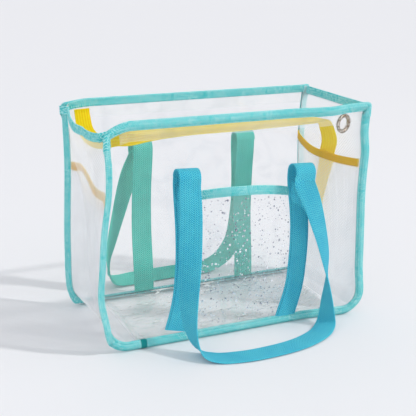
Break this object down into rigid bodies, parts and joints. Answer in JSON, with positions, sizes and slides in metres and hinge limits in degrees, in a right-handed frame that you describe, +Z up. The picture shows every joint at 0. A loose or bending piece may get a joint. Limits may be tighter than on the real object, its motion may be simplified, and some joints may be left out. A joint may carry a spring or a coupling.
{
  "type": "beach bag",
  "caption": "Open-topped clear film beach bag with mesh sides, bound seams, two webbing handles, a front pocket, inner mesh pockets, an eyelet and a stowed strap.",
  "frame": {"origin": "middle of the flat floor that the bag rests on, on the ground", "axes": "+Z up, +X along the front to the right as seen from the front, +Y towards the back"},
  "size_m": [0.328, 0.2759, 0.255],
  "materials": {
    "clear_film": "clear soft vinyl film, glossy, slightly wavy",
    "facing_film": "clear film hem under the rim, a little hazier",
    "glitter_film": "clear film with small silvery specks",
    "mesh": "fine white see-through mesh",
    "turquoise_tape": "ribbed woven binding tape, matte",
    "yellow_tape": "woven yellow binding tape, matte",
    "blue_webbing": "woven polyester webbing, soft sheen",
    "mint_webbing": "woven polyester webbing, soft sheen",
    "blue_thread": "sewing thread",
    "mint_thread": "sewing thread",
    "yellow_webbing": "thin ribbed yellow webbing",
    "aged_metal": "aged nickel, satin"
  },
  "bodies": {
    "bag": {"front_panel": "clear_film", "back_panel": "clear_film", "bottom_panel": "clear_film", "front_facing": "facing_film", "back_facing": "facing_film", "front_pocket": "glitter_film", "left_side_mesh": "mesh", "right_side_mesh": "mesh", "left_mesh_pocket": "mesh", "right_mesh_pocket": "mesh", "front_seam_binding": "turquoise_tape", "back_seam_binding": "turquoise_tape", "front_rim_binding": "turquoise_tape", "back_rim_binding": "turquoise_tape", "left_rim_binding": "turquoise_tape", "right_rim_binding": "turquoise_tape", "front_pocket_binding": "turquoise_tape", "left_pocket_binding": "yellow_tape", "right_pocket_binding": "yellow_tape", "front_handle_left_leg": "blue_webbing", "front_handle_right_leg": "blue_webbing", "front_handle_bends": "blue_webbing", "back_handle_left_leg": "mint_webbing", "back_handle_right_leg": "mint_webbing", "back_handle_bends": "mint_webbing", "front_handle_stitching": "blue_thread", "back_handle_stitching": "mint_thread", "stowed_strap": "yellow_webbing", "eyelet": "aged_metal", "eyelet_washer": "aged_metal"},
    "front_handle": {"front_handle_loop": "blue_webbing"},
    "back_handle": {"back_handle_loop": "mint_webbing"}
  },
  "joints": [
    {"name": "front_handle_swing", "type": "hinge", "parent": "bag", "child": "front_handle", "pos_m": [-0.00204, -0.0793, 0.18877], "axis": [-0.9987, 0, 0.0506], "range_deg": [0, 165], "deforming": ["front_handle_bends"]},
    {"name": "back_handle_swing", "type": "hinge", "parent": "bag", "child": "back_handle", "pos_m": [0.003, 0.0793, 0.189], "axis": [1, 0, 0], "range_deg": [0, 165], "deforming": ["back_handle_bends"]}
  ]
}
